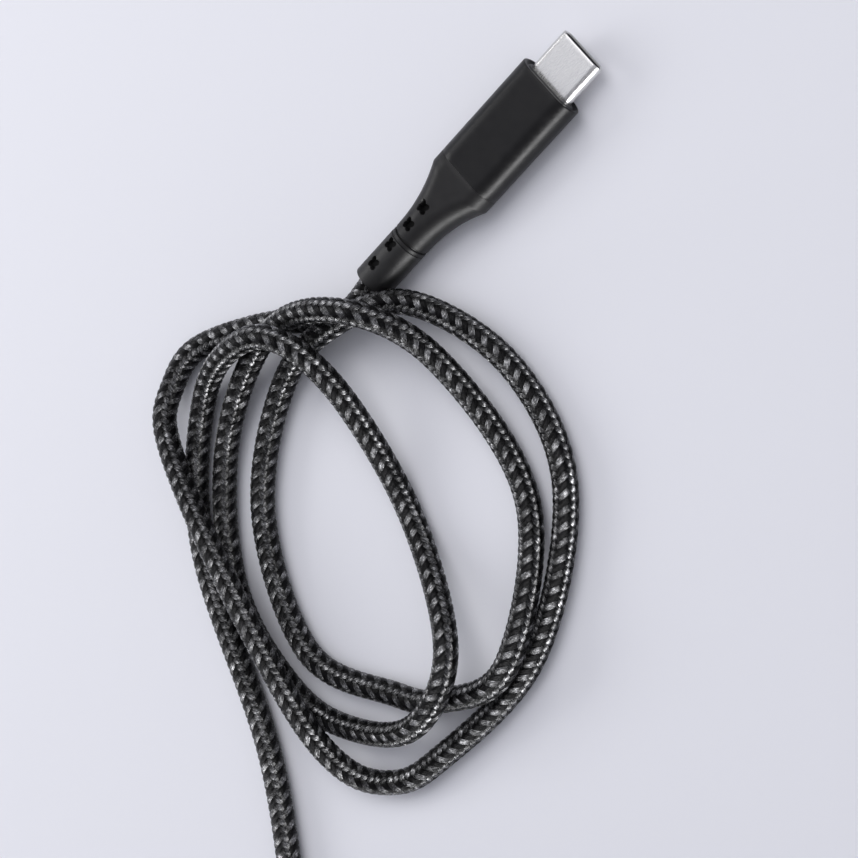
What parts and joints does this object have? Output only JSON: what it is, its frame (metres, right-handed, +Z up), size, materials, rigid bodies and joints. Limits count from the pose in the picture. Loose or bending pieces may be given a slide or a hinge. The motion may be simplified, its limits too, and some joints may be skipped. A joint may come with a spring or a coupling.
{
  "type": "charging cable",
  "caption": "Black braided charging cable with a USB-C plug at either end, lying in loose loops with its spare length stored in a neat coil.",
  "frame": {"origin": "on the surface, under the middle of the near plug", "axes": "+X along the near plug towards its mouth, +Z up from the surface that the cable lies on"},
  "size_m": [0.1562, 0.1466, 0.0121],
  "materials": {
    "shell_steel": "satin nickel",
    "carrier_plastic": "moulded, dark",
    "contact_gold": "gold plated",
    "spring_steel": "bright stamped steel",
    "board_laminate": "solder mask",
    "chip_plastic": "moulded",
    "resistor_ceramic": "glazed",
    "can_steel": "tinned",
    "bezel_plastic": "moulded, dark grey",
    "housing_plastic": "smooth satin black",
    "mould_plastic": "translucent moulding",
    "flare_rubber": "soft satin black",
    "collar_rubber": "soft satin black",
    "sleeve_rubber": "soft satin black",
    "ferrule_brass": "crimped, tinned",
    "cord_braid": "black and grey woven nylon braid",
    "lead_plastic": "coloured insulation"
  },
  "bodies": {
    "root": {"near_connector_shell": "shell_steel", "near_contact_carrier": "carrier_plastic", "near_upper_contacts": "contact_gold", "near_lower_contacts": "contact_gold", "near_latch_plate": "spring_steel", "near_upper_ground_spring": "spring_steel", "near_lower_ground_spring": "spring_steel", "near_paddle_board": "board_laminate", "near_marker_chip": "chip_plastic", "near_board_resistors": "resistor_ceramic", "near_upper_shield": "can_steel", "near_lower_shield": "can_steel", "near_front_bezel": "bezel_plastic", "near_housing": "housing_plastic", "near_inner_mould": "mould_plastic", "near_flare": "flare_rubber", "near_collar_ring": "collar_rubber", "near_relief_sleeve": "sleeve_rubber", "near_crimp_ferrule": "ferrule_brass", "near_cable_end": "cord_braid", "near_wire_leads": "lead_plastic", "far_connector_shell": "shell_steel", "far_contact_carrier": "carrier_plastic", "far_upper_contacts": "contact_gold", "far_lower_contacts": "contact_gold", "far_latch_plate": "spring_steel", "far_upper_ground_spring": "spring_steel", "far_lower_ground_spring": "spring_steel", "far_paddle_board": "board_laminate", "far_marker_chip": "chip_plastic", "far_board_resistors": "resistor_ceramic", "far_upper_shield": "can_steel", "far_lower_shield": "can_steel", "far_front_bezel": "bezel_plastic", "far_housing": "housing_plastic", "far_inner_mould": "mould_plastic", "far_flare": "flare_rubber", "far_collar_ring": "collar_rubber", "far_relief_sleeve": "sleeve_rubber", "far_crimp_ferrule": "ferrule_brass", "far_cable_end": "cord_braid", "far_wire_leads": "lead_plastic", "cord_tube": "cord_braid", "cord_coil": "cord_braid", "cord_tail": "cord_braid"}
  },
  "joints": []
}
